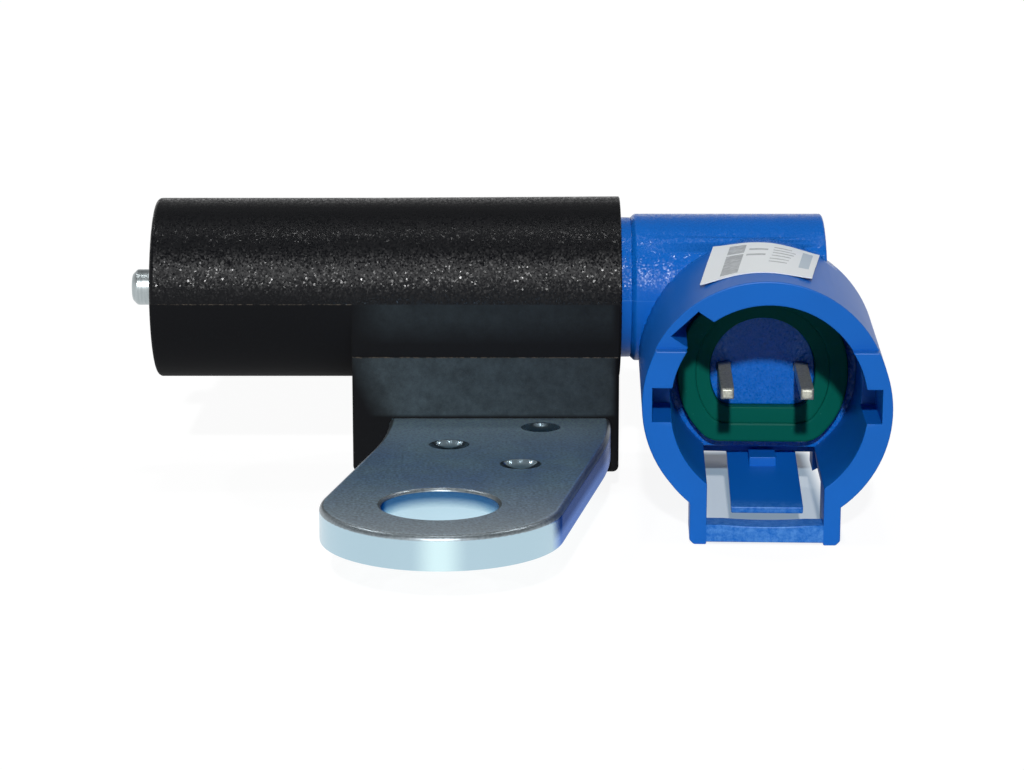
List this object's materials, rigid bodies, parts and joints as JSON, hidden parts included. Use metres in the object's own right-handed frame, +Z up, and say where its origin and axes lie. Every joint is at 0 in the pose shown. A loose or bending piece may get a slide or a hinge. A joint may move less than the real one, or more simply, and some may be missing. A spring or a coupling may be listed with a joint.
{
  "type": "crankshaft position sensor",
  "caption": "Inductive crank sensor: barrel with steel pole tip, block with a flat fixing plate, side socket with latch box, seal and contact pins",
  "frame": {"origin": "centre of the fixing hole on the underside of the mounting plate", "axes": "+X along the barrel from the pole tip to the connector, +Y from the plate's free end to the barrel, +Z up along the fixing hole's axis"},
  "size_m": [0.0747, 0.061, 0.0283],
  "materials": {
    "black_pbt": "fine spark textured, satin",
    "blue_pbt": "moulded, satin",
    "zinc_plated_steel": "blue passivated zinc plating, satin",
    "soft_iron": "turned",
    "green_silicone": "moulded, satin",
    "tinned_brass": "tin plated",
    "magnet_alloy": "ground",
    "nylon": "moulded",
    "enamelled_copper": "wound wire",
    "polyester_tape": "wrapped film",
    "solder": "flowed",
    "label_film": "printed film, bare of words"
  },
  "bodies": {
    "root": {"housing": "black_pbt", "connector_body": "blue_pbt", "mounting_plate": "zinc_plated_steel", "pole_pin": "soft_iron", "magnet": "magnet_alloy", "bobbin": "nylon", "coil_winding": "enamelled_copper", "coil_tape": "polyester_tape", "post_left": "tinned_brass", "post_right": "tinned_brass", "terminal_left": "tinned_brass", "terminal_right": "tinned_brass", "solder_joint_left": "solder", "solder_joint_right": "solder", "connector_seal": "green_silicone", "label": "label_film"}
  },
  "joints": []
}
